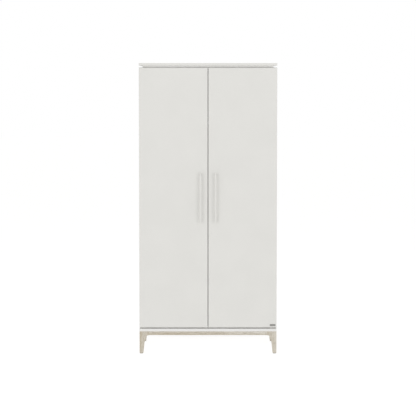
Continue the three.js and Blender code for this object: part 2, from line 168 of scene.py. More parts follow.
lamp("overhead_softbox", at=(0, -0.6, 5.2), aim=(0, 0, 0), size=5.0, watts=40)
lamp("front_left_softbox", at=(-4.5, -6.5, 2.2), aim=(0, 0, 1.0), size=3.0, watts=76)
lamp("front_right_softbox", at=(4.5, -6.5, 2.2), aim=(0, 0, 1.0), size=3.0, watts=66)

# %% [markdown]
# ## Colours and sizes
# A colour picker gives sRGB values, which are curved to suit the eye, but the renderer adds up
# light, which is linear. One function turns the first into the second. Another turns a size in
# millimetres into the scale of a pattern, so that every pattern below is given by its real
# size.

# %% Colours and sizes


def linear(hex_colour):
    """An sRGB hex colour as linear red, green and blue, with alpha 1."""
    parts = np.array([int(hex_colour[i : i + 2], 16) for i in (1, 3, 5)]) / 255
    curved = ((parts + 0.055) / 1.055) ** 2.4
    return (*np.where(parts <= 0.04045, parts / 12.92, curved).tolist(), 1.0)


def every(millimetres):
    """The scale that repeats a pattern about once in this many millimetres."""
    return 1000 / millimetres


print("a middle grey, #808080, is", [round(part, 3) for part in linear("#808080")])
print("a pattern of 5 mm has the scale", every(5))

# %% [markdown]
# ## Building a finish
# A finish is a material whose main shader holds the values that are the same all over. Patterns
# are then linked into it. One function adds any kind of node with its settings and links, so
# that a material reads from top to bottom like a recipe.

# %% Nodes and new finishes


def fill(material, node, inputs):
    """Fills a node's inputs: a node's output is linked, anything else is set as the value."""
    for key, value in inputs.items():
        if isinstance(value, bpy.types.NodeSocket):
            material.node_tree.links.new(value, node.inputs[key])
        else:
            node.inputs[key].default_value = value


def add_node(material, kind, inputs, stops=(), **settings):
    """Adds a node of one kind with its settings, its inputs and any stops of a colour ramp."""
    node = material.node_tree.nodes.new("ShaderNode" + kind)
    for key, value in settings.items():
        setattr(node, key, value)
    fill(material, node, inputs)
    for index, (position, colour) in enumerate(stops):
        ramp = node.color_ramp.elements
        stop = ramp[index] if index < len(ramp) else ramp.new(position)
        stop.position = position
        stop.color = linear(colour)
    return node


def new_finish(name, slot, values):
    """A material with these values on its main shader, for one slot of the record."""
    material = bpy.data.materials.new(name)
    material.use_nodes = True
    material["slot"] = slot
    shader = material.node_tree.nodes["Principled BSDF"]
    fill(material, shader, values)
    print("new finish:", name)
    return material, shader


def link_surface(material, shader, colour, roughness, relief):
    """Links a finish's colour, roughness and relief into its main shader."""
    fill(material, shader, {"Base Color": colour, "Roughness": roughness, "Normal": relief})


# %% [markdown]
# ## White lacquer
# The doors, sides, top and bottom are fibreboard sprayed with a satin white lacquer. Up close
# the sprayed coat has a fine orange peel, and hands and cloths leave the gloss a little uneven.
# The colour drifts so little that it is only felt. A flat colour would do from afar, but it
# looks like plastic in a close view. All three patterns read the place on the object, so they
# run on from board to board. The spacer, the bottom panel and the floor board get a lighter
# copy of the same lacquer. That is painted light: it lifts the shade that falls on them in the
# recess under the top and in the gap under the doors.

# %% White lacquer on fibreboard


def satin_white(name, slot, light, dark, roughness, bump_size):
    """A satin white surface: clouds of two near colours, uneven gloss and bumps of one size."""
    values = {"IOR": 1.5, "Coat Weight": 0.12, "Coat Roughness": 0.25}
    material, shader = new_finish(name, slot, values)
    where = add_node(material, "TexCoord", {}).outputs["Object"]
    clouds = add_node(
        material, "TexNoise", {"Vector": where, "Scale": every(210), "Detail": 3.0}
    )
    tone = add_node(
        material, "ValToRGB", {"Fac": clouds.outputs[0]}, stops=[(0.35, dark), (0.65, light)]
    )
    smears = add_node(
        material, "TexNoise", {"Vector": where, "Scale": every(38), "Detail": 5.0}
    )
    gloss = add_node(
        material,
        "MapRange",
        {
            "Value": smears.outputs[0],
            "From Min": 0.3,
            "From Max": 0.7,
            "To Min": roughness - 0.05,
            "To Max": roughness + 0.06,
        },
    )
    bumps = add_node(
        material, "TexNoise", {"Vector": where, "Scale": every(bump_size), "Detail": 2.0}
    )
    relief = add_node(
        material, "Bump", {"Height": bumps.outputs[0], "Strength": 0.35, "Distance": 0.05 * MM}
    )
    link_surface(material, shader, tone.outputs[0], gloss.outputs[0], relief.outputs[0])
    return material


# Sprayed satin lacquer gives the eye a soft, broad reflection. Its peel is 3.5 mm.
lacquer = satin_white("sprayed_white_lacquer", "white_lacquer", "#DDDCD8", "#DBDAD6", 0.42, 3.5)
# A lighter copy of the same lacquer: painted light that lifts the shade on the spacer, the
# bottom panel and the floor board.
lacquer_painted_lighter = satin_white(
    "white_lacquer_painted_lighter", "white_lacquer", "#E5E4E2", "#E3E2DF", 0.4, 3.5
)
print("white lacquer is", [round(part, 3) for part in linear("#DDDCD8")])

# %% [markdown]
# ## Powder coat and white plastic
# The handles are metal under a baked powder coat, which is a little glossier than the lacquer
# and has a finer peel. The strip between the back boards, the cam caps and the bumpers are
# white plastic, with a coarser texture from the mould. Both are satin white surfaces like the
# lacquer, so the same function makes them with other sizes.

# %% Powder coat and plastic
# Powder coat: fine peel of 1.2 mm, tighter reflection. Plastic: texture of 6 mm, duller.
handle_coat = satin_white(
    "white_powder_coat", "white_powder_coat", "#DEDDD9", "#DCDBD7", 0.38, 1.2
)
plastic = satin_white("extruded_white_plastic", "white_plastic", "#DCDBD7", "#D9D8D4", 0.5, 6.0)
print("bumps of 1.2 mm on the handles and 6 mm on the plastic")

# %% [markdown]
# ## Melamine
# Shelves and the inner top are chipboard faced with white melamine paper. The press leaves a
# fine pearl grain, a closed pattern of tiny rounded pits, and the sheet is duller than the
# lacquer outside. Noise would give bumps without borders, so the pits come from the cells of a
# Voronoi pattern.

# %% Pearl melamine


def pressed_melamine():
    """A dull white sheet with tiny pits, drawn 1.6 mm wide so that a close view shows them."""
    material, shader = new_finish("pearl_melamine", "white_melamine", {"IOR": 1.5})
    where = add_node(material, "TexCoord", {}).outputs["Object"]
    pits = add_node(
        material, "TexVoronoi", {"Vector": where, "Scale": every(1.6)}, feature="SMOOTH_F1"
    )
    clouds = add_node(
        material, "TexNoise", {"Vector": where, "Scale": every(120), "Detail": 2.0}
    )
    tone = add_node(
        material,
        "ValToRGB",
        {"Fac": clouds.outputs[0]},
        stops=[(0.3, "#E3E2DF"), (0.7, "#E7E6E3")],
    )
    gloss = add_node(
        material, "MapRange", {"Value": pits.outputs[0], "To Min": 0.5, "To Max": 0.62}
    )
    relief = add_node(
        material, "Bump", {"Height": pits.outputs[0], "Strength": 0.4, "Distance": 0.06 * MM}
    )
    link_surface(material, shader, tone.outputs[0], gloss.outputs[0], relief.outputs[0])
    return material


melamine = pressed_melamine()

# %% [markdown]
# ## Hardboard back
# The back is 3 mm hardboard. Its inner face is painted white, and its outer face, which stands
# against the wall, is left raw: brown pressed fibre with darker flecks. Two materials would
# need the faces sorted between them, but which face a point is on follows from how far back it
# lies, so one material does both.

# %% Hardboard, white inside and raw behind
raw_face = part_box("back_board_left")[1].y - 0.4 * MM


def pressed_hardboard():
    """White paint in front of the raw face's plane, and brown fibre behind it. The fibres are
    drawn 2.2 mm across, so that they show."""
    material, shader = new_finish("pressed_hardboard", "white_hardboard", {"IOR": 1.45})
    where = add_node(material, "TexCoord", {}).outputs["Object"]
    depth = add_node(material, "SeparateXYZ", {"Vector": where}).outputs["Y"]
    behind = add_node(material, "Math", {0: depth, 1: raw_face}, operation="GREATER_THAN")
    raw = behind.outputs[0]
    squeezed = add_node(material, "Mapping", {"Vector": where, "Scale": (1, 1, 0.55)})
    fibre = add_node(
        material,
        "TexNoise",
        {
            "Vector": squeezed.outputs[0],
            "Scale": every(2.2),
            "Detail": 6.0,
            "Roughness": 0.75,
            "Distortion": 0.4,
        },
    )
    brown = add_node(
        material,
        "ValToRGB",
        {"Fac": fibre.outputs[0]},
        stops=[(0.3, "#8B7055"), (0.5, "#9D8366"), (0.72, "#AE9576")],
    )
    white = add_node(
        material,
        "ValToRGB",
        {"Fac": fibre.outputs[0]},
        stops=[(0.3, "#DEDDD9"), (0.7, "#E3E2DE")],
    )
    tone = add_node(
        material,
        "Mix",
        {0: raw, 6: white.outputs[0], 7: brown.outputs[0]},
        data_type="RGBA",
    )
    gloss = add_node(material, "MapRange", {"Value": raw, "To Min": 0.55, "To Max": 0.8})
    relief = add_node(
        material, "Bump", {"Height": fibre.outputs[0], "Strength": 0.4, "Distance": 0.12 * MM}
    )
    link_surface(material, shader, tone.outputs[2], gloss.outputs[0], relief.outputs[0])
    return material


hardboard = pressed_hardboard()

# %% [markdown]
# ## White-oiled oak
# The legs and rails are solid oak under a white pigmented oil, which greys the wood and fills
# some of its pores. What the eye reads is long streaks along the grain, wavy yearly rings every
# few millimetres, and short dark pores. A picture of wood would repeat and show a seam at each
# edge. Noise drawn out along the grain gives all three without one, so the material is made
# once for each direction in which a piece of wood lies.

# %% White-oiled oak
GRAIN = {"x": (0.05, 1, 1), "y": (1, 0.05, 1), "z": (1, 1, 0.05)}


def oiled_oak(along):
    """Oak with its grain along one axis: rings 6 mm apart, streaks 22 mm wide, and pores that
    are drawn 1.5 mm wide, so that they show."""
    material, shader = new_finish("white_oiled_oak_" + along, "oiled_oak", {"IOR": 1.48})
    where = add_node(material, "TexCoord", {}).outputs["Object"]
    drawn = add_node(material, "Mapping", {"Vector": where, "Scale": GRAIN[along]}).outputs[0]
    streaks = add_node(
        material, "TexNoise", {"Vector": drawn, "Scale": every(22), "Detail": 3.0}
    )
    rings = add_node(
        material,
        "TexNoise",
        {
            "Vector": drawn,
            "Scale": every(6),
            "Detail": 4.0,
            "Roughness": 0.6,
            "Distortion": 1.2,
        },
    )
    pores = add_node(
        material,
        "TexNoise",
        {"Vector": drawn, "Scale": every(1.5), "Detail": 3.0, "Roughness": 0.7},
    )
    ground = add_node(
        material,
        "ValToRGB",
        {"Fac": rings.outputs[0]},
        stops=[(0.3, "#C8C1B4"), (0.5, "#D5D0C6"), (0.7, "#DEDBD4")],
    )
    wash = add_node(
        material,
        "ValToRGB",
        {"Fac": streaks.outputs[0]},
        stops=[(0.3, "#E6E0D4"), (0.7, "#FFFFFF")],
    )
    open_pore = add_node(
        material,
        "ValToRGB",
        {"Fac": pores.outputs[0]},
        stops=[(0.36, "#B5AC9C"), (0.46, "#FFFFFF")],
    )
    washed = add_node(
        material,
        "Mix",
        {0: 1.0, 6: ground.outputs[0], 7: wash.outputs[0]},
        data_type="RGBA",
        blend_type="MULTIPLY",
    )
    tone = add_node(
        material,
        "Mix",
        {0: 0.8, 6: washed.outputs[2], 7: open_pore.outputs[0]},
        data_type="RGBA",
        blend_type="MULTIPLY",
    )
    gloss = add_node(
        material, "MapRange", {"Value": rings.outputs[0], "To Min": 0.68, "To Max": 0.5}
    )
    relief = add_node(
        material,
        "Bump",
        {"Height": open_pore.outputs[0], "Strength": 0.5, "Distance": 0.15 * MM},
    )
    link_surface(material, shader, tone.outputs[2], gloss.outputs[0], relief.outputs[0])
    return material


oak = {along: oiled_oak(along) for along in GRAIN}

# %% [markdown]
# ## Metals
# The hinges and rail sockets are nickel plated, the brackets and screws zinc plated, the
# clothes rail chromium plated and the little plate on the door brushed steel. A plated metal
# keeps its colour in its reflection, so each is fully metallic. They differ in tint and in how
# far the surface under the plating blurs the reflection: pressed steel shows soft clouds, drawn
# tube shows lines along its length, and brushing shows fine lines one way. So one function
# makes all four.

# %% Plated metals
EVEN = (1, 1, 1)
LINES_ALONG_X = (0.02, 1, 1)


def plated(name, slot, light, dark, roughness, grain, size):
    """A metal with a cloudy or lined surface: noise of one size, drawn out by the grain."""
    material, shader = new_finish(name, slot, {"Metallic": 1.0})
    where = add_node(material, "TexCoord", {}).outputs["Object"]
    drawn = add_node(material, "Mapping", {"Vector": where, "Scale": grain}).outputs[0]
    lines = add_node(
        material, "TexNoise", {"Vector": drawn, "Scale": every(size), "Detail": 4.0}
    )
    tone = add_node(
        material, "ValToRGB", {"Fac": lines.outputs[0]}, stops=[(0.35, dark), (0.65, light)]
    )
    gloss = add_node(
        material,
        "MapRange",
        {"Value": lines.outputs[0], "To Min": roughness * 0.7, "To Max": roughness * 1.3},
    )
    relief = add_node(
        material, "Bump", {"Height": lines.outputs[0], "Strength": 0.2, "Distance": 0.03 * MM}
    )
    link_surface(material, shader, tone.outputs[0], gloss.outputs[0], relief.outputs[0])
    return material


# Nickel: warm, with soft clouds. Zinc: cool, with small spangles. Chromium: a clear mirror.
# Brushed steel: a blurred streak, in lines 0.7 mm wide, as coarse as they need to be to show.
nickel = plated("nickel_plated_steel", "nickel_plate", "#CDC9C1", "#BFBBB2", 0.3, EVEN, 9)
zinc = plated("zinc_plated_steel", "zinc_plate", "#B4B8BC", "#93979B", 0.4, EVEN, 2.5)
chrome = plated(
    "chromium_plated_tube", "chrome_tube", "#D2D4D6", "#C3C6C9", 0.1, LINES_ALONG_X, 1.5
)
brushed = plated(
    "brushed_steel_plate", "satin_steel", "#A3A29E", "#8B8A86", 0.38, LINES_ALONG_X, 0.7
)

# %% [markdown]
# ## Felt
# The pads under the legs are pressed wool felt: rough, without gloss, and mottled grey from
# fibres of several shades. Real fibres could be grown as hair, but pads this small only show
# the mottling and the soft light edge of the fibres at the rim, and sheen gives that edge.

# %% Pressed felt


def pressed_felt():
    """Grey felt: fibres of two shades with a rough relief, drawn 0.8 mm across, so that they
    show."""
    values = {"Roughness": 0.95, "Sheen Weight": 0.5, "Sheen Roughness": 0.6}
    material, shader = new_finish("pressed_wool_felt", "grey_felt", values)
    where = add_node(material, "TexCoord", {}).outputs["Object"]
    fibres = add_node(
        material,
        "TexNoise",
        {"Vector": where, "Scale": every(0.8), "Detail": 6.0, "Roughness": 0.8},
    )
    tone = add_node(
        material,
        "ValToRGB",
        {"Fac": fibres.outputs[0]},
        stops=[(0.35, "#77736E"), (0.65, "#A5A19B")],
    )
    relief = add_node(
        material, "Bump", {"Height": fibres.outputs[0], "Strength": 0.8, "Distance": 0.3 * MM}
    )
    fill(material, shader, {"Base Color": tone.outputs[0], "Normal": relief.outputs[0]})
    return material


felt = pressed_felt()

# %% [markdown]
# ## Pale floor
# The wardrobe stands on a floor as white as the room, so that only a faint shadow under it
# tells where the floor is. A plain white floor would still look grey where it is turned away
# from the lamps. So this one glows a little, like a light table. It is a backdrop and not part
# of the wardrobe.

# %% Pale floor
FLOOR_HALF = 40.0  # metres from the middle to each edge


def matt_floor():
    """A matt pale floor, lit from below so that it carries only a faint shadow."""
    values = {"Roughness": 0.9, "Emission Color": WHITE, "Emission Strength": 0.74}
    material, shader = new_finish("matt_studio_floor", "", values)
    where = add_node(material, "TexCoord", {}).outputs["Object"]
    clouds = add_node(
        material, "TexNoise", {"Vector": where, "Scale": every(90), "Detail": 2.0}
    )
    tone = add_node(
        material,
        "ValToRGB",
        {"Fac": clouds.outputs[0]},
        stops=[(0.3, "#A6A6A5"), (0.7, "#A8A8A7")],
    )
    fill(material, shader, {"Base Color": tone.outputs[0]})
    return material


floor_mesh = bpy.data.meshes.new("floor")
floor_corners = FLOOR_HALF * np.array([(-1, -1, 0), (1, -1, 0), (1, 1, 0), (-1, 1, 0)])
floor_mesh.from_pydata(floor_corners.tolist(), [], [(0, 1, 2, 3)])
floor_mesh.materials.append(matt_floor())
floor = bpy.data.objects.new("floor", floor_mesh)
scene.collection.objects.link(floor)
print("a floor", 2 * FLOOR_HALF, "m across")

# %% [markdown]
# ## Shapes from outlines
# Most pieces are boards and bars, so one surface serves them all: a rounded outline carried
# along a line. A cube with its edges bevelled would look the same, but here the rounding is a
# plain number in a formula. An outline goes once round, and a shell joins a stack of such rings
# into a closed surface.

# %% Outlines and shells
CORNER_STEPS = 4


def outline(width, depth, corner, steps=CORNER_STEPS):
    """Points round a rectangle about the origin whose corners are quarter circles: a corner's
    centre + radius * (cos, sin) of an angle that turns a quarter further at each corner."""
    turn = np.arange(4)[:, None] * np.pi / 2 + np.linspace(0, np.pi / 2, steps + 1)
    signs = np.array([[1, 1], [-1, 1], [-1, -1], [1, -1]])
    centres = signs * (np.array([width, depth]) / 2 - corner)
    points = centres[:, None] + corner * np.stack([np.cos(turn), np.sin(turn)], -1)
    return points.reshape(-1, 2)


def shell(rings):
    """Rings (rings x points x 3) joined by four-sided faces, with one face over each end."""
    count, around = rings.shape[:2]
    index = np.arange(count * around).reshape(count, around)
    beside = np.roll(index, -1, axis=1)
    quads = np.stack([index[:-1], beside[:-1], beside[1:], index[1:]], -1).reshape(-1, 4)
    return rings.reshape(-1, 3), quads.tolist() + [index[0].tolist(), index[-1].tolist()]


print("an outline has", len(outline(1, 1, 0.1)), "points")

# %% [markdown]
# ## Bars
# A board or bar is an outline carried straight from one end to the other. Where the line ends,
# the outline shrinks along a quarter circle, and that is how an edge that has been eased with
# sandpaper looks. The long corners are a little rounder than the ends unless a bar gives its
# own radius.

# %% Bars
ROUNDER = 1.2  # radius of the long corners, as a multiple of the easing of the ends


def eased_ends(ease, steps=CORNER_STEPS):
    """How far each ring lies inside the end, ease * (1 - sin t), and how much its outline
    shrinks there, ease * (1 - cos t), with t from 0 to a quarter turn."""
    turn = np.linspace(0, np.pi / 2, steps + 1)
    return ease * (1 - np.sin(turn)), ease * (1 - np.cos(turn))


def bar(low, high, axis, ease, corner=None, steps=CORNER_STEPS):
    """A box from low to high: its outline carried along an axis and shrunk at both ends."""
    low, high = np.array(low), np.array(high)
    corner = corner or ease * ROUNDER
    first, second = [other for other in range(3) if other != axis]
    inside, shrink = eased_ends(ease, steps)
    along = np.concatenate([low[axis] + inside[::-1], high[axis] - inside])
    width, depth = (high - low)[[first, second]]
    flat = np.stack(
        [
            outline(width - 2 * less, depth - 2 * less, corner - less, steps)
            for less in (*shrink[::-1], *shrink)
        ]
    )
    rings = np.empty((*flat.shape[:2], 3))
    rings[..., first] = flat[..., 0] + (low + high)[first] / 2
    rings[..., second] = flat[..., 1] + (low + high)[second] / 2
    rings[..., axis] = along[:, None]
    return shell(rings)


print("a bar has", len(bar((0, 0, 0), (1, 1, 1), axis=2, ease=0.1)[1]), "faces")

# %% [markdown]
# ## Turned pieces
# Pads, pins, posts and caps are round, so each is a profile turned once round an axis, as on a
# lathe. The profile is a list of pairs: how far from the axis, and how far along it.

# %% Turned pieces


def turned(profile, centre, axis, sides=32):
    """A profile of (radius, distance) pairs turned round an axis: across the axis, a point is
    radius * (cos, sin) of the turn. The end points lie on the axis and are merged later."""
    radius, along = np.array(profile, float).T
    turn = np.arange(sides) * 2 * np.pi / sides
    first, second = [other for other in range(3) if other != axis]
    rings = np.empty((len(radius), sides, 3))
    rings[..., first] = radius[:, None] * np.cos(turn)
    rings[..., second] = radius[:, None] * np.sin(turn)
    rings[..., axis] = along[:, None]
    return shell(rings + np.array(centre))


cone = turned([(0, 0), (1, 0), (0, 1)], centre=(0, 0, 0), axis=2)
print("a turned cone has", len(cone[1]), "faces before its end points are merged")

# %% [markdown]
# ## Putting a piece in the scene
# Every piece gets one finish and is shaded smooth, except across creases. It rides on a body,
# which is the carcass or a door, and the part of the frame that it stands for is hidden. The big
# flat faces set the shading next to a rounded edge, or the edge would tint the whole board
# beside it.

# %% Putting a piece in the scene
CREASE = np.radians(35)
CARCASS = "carcass"


def tell(*pieces):
    """Prints how many pieces there are, and the first one's size in millimetres and faces."""
    mesh = pieces[0].data
    points = np.empty(3 * len(mesh.vertices), np.float32)
    mesh.vertices.foreach_get("co", points)
    size = np.ptp(points.reshape(-1, 3), axis=0) / MM
    size = " x ".join(f"{part:.1f}" for part in size)
    print(f"{len(pieces)} made, {pieces[0].name} is {size} mm with {len(mesh.polygons)} faces")


def place(name, mesh, finish, body, stands_for=()):
    """Puts a mesh in the scene with its finish, smooth but for creases, riding on a body."""
    mesh.materials.clear()
    mesh.materials.append(finish)
    mesh.polygons.foreach_set("use_smooth", np.ones(len(mesh.polygons), bool))
    mesh.set_sharp_from_angle(angle=CREASE)
    thing = bpy.data.objects.new(name, mesh)
    scene.collection.objects.link(thing)
    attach(thing, body)
    if stands_for:
        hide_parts(*stands_for)
    return thing


def flat_faces_first(thing):
    """Lets the big flat faces set the shading."""
    thing.modifiers.new("flat_faces_first", "WEIGHTED_NORMAL").keep_sharp = True


print("edges are sharp from", round(np.degrees(CREASE)), "degrees")

# %% [markdown]
# ## Two ways to make a piece
# A plain piece is made new from closed shells. A piece with bores, grooves or a bent shape is
# already cut in the frame, and cutting it again would only risk a different shape. So it is a
# copy: its loose triangles are merged, flat neighbours are joined, and a bevel eases its sharp
# edges.

# %% New pieces
MERGE_SHELLS = 0.0005 * MM


def make(name, shells, finish, body, stands_for=()):
    """One piece from closed shells: points that meet are merged, and faces look outwards."""
    shape = bmesh.new()
    for points, faces in shells:
        part = bpy.data.meshes.new("shell")
        part.from_pydata(points.tolist(), [], faces)
        shape.from_mesh(part)
        bpy.data.meshes.remove(part)
    bmesh.ops.remove_doubles(shape, verts=shape.verts, dist=MERGE_SHELLS)
    bmesh.ops.recalc_face_normals(shape, faces=shape.faces)
    mesh = bpy.data.meshes.new(name)
    shape.to_mesh(mesh)
    shape.free()
    thing = place(name, mesh, finish, body, stands_for)
    flat_faces_first(thing)
    return thing


print("poles closer than", MERGE_SHELLS / MM, "mm are merged")

# %% Eased copies
MERGE_COPY = 0.005 * MM
FLAT = np.radians(1)
SHARP = np.radians(40)


def eased(node, name, finish, ease, segments=2):
    """A copy of a cut board or fitting, merged, with the edges that turn sharply eased."""
    shape = bmesh.new()
    shape.from_mesh(frame["nodes"][node].data)
    bmesh.ops.remove_doubles(shape, verts=shape.verts, dist=MERGE_COPY)
    bmesh.ops.dissolve_limit(
        shape, angle_limit=FLAT, verts=shape.verts[:], edges=shape.edges[:]
    )
    mesh = bpy.data.meshes.new(name)
    shape.to_mesh(mesh)
    shape.free()
    thing = place(name, mesh, finish, frame["nodes"][node]["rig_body"], (node,))
    rounding = thing.modifiers.new("eased_edges", "BEVEL")
    rounding.width = ease
    rounding.segments = segments
    rounding.limit_method = "ANGLE"
    rounding.angle_limit = SHARP
    flat_faces_first(thing)
    return thing


print("edges that turn more than", round(np.degrees(SHARP)), "degrees are eased")

# %% [markdown]
# ## Boards
# The top panel, the spacer under it that makes the shadow line, the bottom panel, the floor
# board that closes the gap under the doors, the inner top and the three shelves are plain
# boards. Each one is the outline of its broad face carried through its thickness. Lacquered
# boards are sanded round before they are sprayed, and the edge band of a melamine shelf is only
# just broken. The spacer, the bottom panel and the floor board get the lighter copy of the
# lacquer, which is painted light that lifts the shade in the recess and the gap under the doors.

# %% Plain boards
BOARDS = {  # finish, and easing of the edges in millimetres
    "top_panel": (lacquer, 1.2),
    # These three boards take the lighter copy of the lacquer, which is painted light against
    # their shade.
    "top_spacer": (lacquer_painted_lighter, 0.8),
    "bottom_panel": (lacquer_painted_lighter, 1.2),
    "carcass_floor": (lacquer_painted_lighter, 0.5),
    "carcass_top": (melamine, 0.5),
    "hat_shelf": (melamine, 0.5),
    "middle_shelf": (melamine, 0.5),
    "lower_shelf": (melamine, 0.5),
}
boards = []
for node, (finish, ease) in BOARDS.items():
    low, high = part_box(node)
    shells = [bar(low, high, 2, ease * MM)]
    boards.append(make(node + "_board", shells, finish, CARCASS, (node,)))
tell(*boards)

# %% [markdown]
# ## Sides and doors
# These boards are cut: the sides have a groove for the back and rows of pin holes, and the
# doors have a round bore for each hinge cup. So they are eased copies. The doors' edges are
# what the hand meets, and they show in front, so their rounding gets one more segment.

# %% Sides and doors
for side in SIDES:
    panel = eased("side_panel_" + side, f"side_panel_{side}_board", lacquer, 0.8 * MM)
    door = eased("door_" + side, f"door_{side}_board", lacquer, 0.9 * MM, segments=3)
    tell(panel)
    tell(door)

# %% [markdown]
# ## Back
# The two thin back boards slide in grooves that hide their edges, so they need no easing: the
# frame's own boards only get the hardboard finish. The strip between them is an extruded
# plastic moulding with a slot on each side, and it is an eased copy.

# %% Back boards and their joining strip
for side in SIDES:
    frame["nodes"]["back_board_" + side].material_slots[0].material = hardboard
tell(eased("back_joining_strip", "back_joining_strip_moulding", plastic, 0.3 * MM))

# %% [markdown]
# ## Legs
# A leg could be a tapered box with a second block for its shoulder, but a real one is bandsawn
# from one square post. So it is one surface here: at each height it is a square whose outer
# corner stays put, and only the length of its side changes with the height. It grows evenly
# from the foot to the knee, and then a hollow quarter circle leads out to the rail.

# %% The side of a leg at each height
LEG_FOOT = 26 * MM
LEG_KNEE = 36.5 * MM
KNEE_RADIUS = 28 * MM
KNEE_STEPS = 12
LEG_EASE = 1.2 * MM


def leg_side(height, foot, shoulder):
    """The side of the leg's square section: even growth from foot to knee, then a quarter
    circle outwards, knee + radius - square root of (radius^2 - rise^2), that ends level with
    the rail's underside."""
    knee = shoulder - KNEE_RADIUS
    straight = LEG_FOOT + (LEG_KNEE - LEG_FOOT) * (height - foot) / (knee - foot)
    rise = np.clip(height - knee, 0, KNEE_RADIUS)
    curved = LEG_KNEE + KNEE_RADIUS - np.sqrt(KNEE_RADIUS**2 - rise**2)
    return np.where(height < knee, straight, curved)


shoulder_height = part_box("frame_rail_front")[0].z
foot_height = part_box("leg_front_left")[0].z
sample = leg_side(np.array([foot_height, shoulder_height]), foot_height, shoulder_height)
print("a leg is", (sample / MM).round(1).tolist(), "mm square at its foot and its shoulder")

# %% Four legs


def leg(node, x_inward, y_inward):
    """Rings from foot to top: rounded squares of the leg's side, shrunk at the eased ends."""
    low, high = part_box(node)
    inside, shrink = eased_ends(LEG_EASE)
    knee_turn = np.linspace(0, np.pi / 2, KNEE_STEPS + 1)
    knee = shoulder_height - KNEE_RADIUS * np.cos(knee_turn)
    heights = np.concatenate([low.z + inside[::-1], knee, high.z - inside])
    less = np.concatenate([shrink[::-1], 0 * knee, shrink])
    sides = leg_side(heights, low.z, shoulder_height)
    corners = LEG_EASE * ROUNDER - less
    flat = np.stack(
        [outline(w - 2 * s, w - 2 * s, c) + w / 2 for w, s, c in zip(sides, less, corners)]
    )
    corner_x = low.x if x_inward > 0 else high.x
    corner_y = low.y if y_inward > 0 else high.y
    rings = np.empty((*flat.shape[:2], 3))
    rings[..., 0] = corner_x + x_inward * flat[..., 0]
    rings[..., 1] = corner_y + y_inward * flat[..., 1]
    rings[..., 2] = heights[:, None]
    return make(node + "_post", [shell(rings)], oak["z"], CARCASS, (node,))


for side, sign in SIDES.items():
    tell(leg("leg_front_" + side, -sign, 1))
    tell(leg("leg_back_" + side, -sign, -1))

# %% [markdown]
# ## Frame rails
# Four rails run between the legs just under the bottom panel. They are planed square bars, and
# each takes the oak whose grain runs along it, so that the streaks turn the corner as on real
# wood. Their ends meet the legs in tight joints, so those are hardly eased.

# %% Frame rails
RAIL_GRAIN = {"front": "x", "back": "x", "left": "y", "right": "y"}
rails = []
for end, along in RAIL_GRAIN.items():
    node = "frame_rail_" + end
    shells = [bar(*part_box(node), "xyz".index(along), 0.4 * MM, corner=1.5 * MM)]
    rails.append(make(node + "_bar", shells, oak[along], CARCASS, (node,)))
tell(*rails)

# %% [markdown]
# ## Felt glides
# A round felt pad sits under each leg, so that the wardrobe slides without scratching the
# floor. Felt is cut with a punch, which leaves the lower rim soft and slanted, so each pad is
# turned from a short profile with a slanted rim.

# %% Felt glides
GLIDE_RIM = 0.8 * MM


def glide(node):
    """A round pad: flat below, with a rim that slants up in two steps, and flat above."""
    low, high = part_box(node)
    radius, height = (high.x - low.x) / 2, high.z - low.z
    profile = [(0, 0), (radius - GLIDE_RIM, 0), (radius - 0.3 * GLIDE_RIM, 0.3 * GLIDE_RIM)]
    profile += [(radius, GLIDE_RIM), (radius, height - GLIDE_RIM)]
    profile += [(radius - GLIDE_RIM, height), (0, height)]
    centre = ((low.x + high.x) / 2, (low.y + high.y) / 2, low.z)
    return make(node + "_pad", [turned(profile, centre, 2)], felt, CARCASS, (node,))


tell(*[glide(f"glide_{end}_{side}") for end in ("front", "back") for side in SIDES])

# %% [markdown]
# ## Handles
# Each handle is a slim flat bar held off the door by two round posts. The bar is a rounded
# outline carried upwards. A post is turned: it springs from a small foot on the door, and it
# ends just inside the bar. The two meet like a welded joint, with no seam to draw.

# %% Handles
POST_FROM_END = 10 * MM
POST_RADIUS = 4 * MM
POST_TAPER = 0.97
POST_FOOT = 0.5 * MM
POST_INTO_BAR = 1 * MM
BAR_THICKNESS = 12 * MM
BAR_EASE = 1.6 * MM
BAR_CORNER = 2.5 * MM


def handle(side):
    """A bar with eased ends on two turned posts, each with a low foot against the door.
    Returns where the posts are across and up the door."""
    low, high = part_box("handle_" + side)
    back_of_bar = low.y + BAR_THICKNESS
    stem = bar(low, (high.x, back_of_bar, high.z), 2, BAR_EASE, corner=BAR_CORNER, steps=6)
    reach = high.y - back_of_bar + POST_INTO_BAR
    foot = POST_RADIUS + POST_FOOT
    profile = [(0, 0), (foot, 0), (foot, -POST_FOOT), (POST_RADIUS, -2 * POST_FOOT)]
    profile += [(POST_RADIUS * POST_TAPER, -reach), (0, -reach)]
    middle = (low.x + high.x) / 2
    heights = (low.z + POST_FROM_END, high.z - POST_FROM_END)
    posts = [turned(profile, (middle, high.y, z), 1) for z in heights]
    node = "handle_" + side
    tell(make(node + "_bar", [stem, *posts], handle_coat, BODY[side], (node,)))
    return [(middle, z) for z in heights]


post_places = {side: handle(side) for side in SIDES}

# %% [markdown]
# ## Blank nameplate
# A small brushed plate is glued near the foot of the right door. It is left blank. A face with
# another finish would do from afar, but a real plate has an edge that catches the light. So it
# is a thin bar carried through its thickness, with the rounded corners of a stamped plate.

# %% Blank nameplate
low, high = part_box("blank_nameplate")
shells = [bar(low, high, 1, 0.3 * MM, corner=2 * MM)]
tell(make("blank_nameplate_plate", shells, brushed, "right_door", ("blank_nameplate",)))

# %% [markdown]
# ## Clothes rail, sockets and brackets
# The rail is oval chromium plated tube. Its section is an outline with corners nearly as round
# as it is thick, carried from side to side. The sockets that hold its ends and the brackets
# that tie the wardrobe to the wall are cut and bent shapes, so they are eased copies.

# %% Clothes rail
TUBE_ROUNDNESS = 0.98  # corner radius as a share of half the tube's thickness

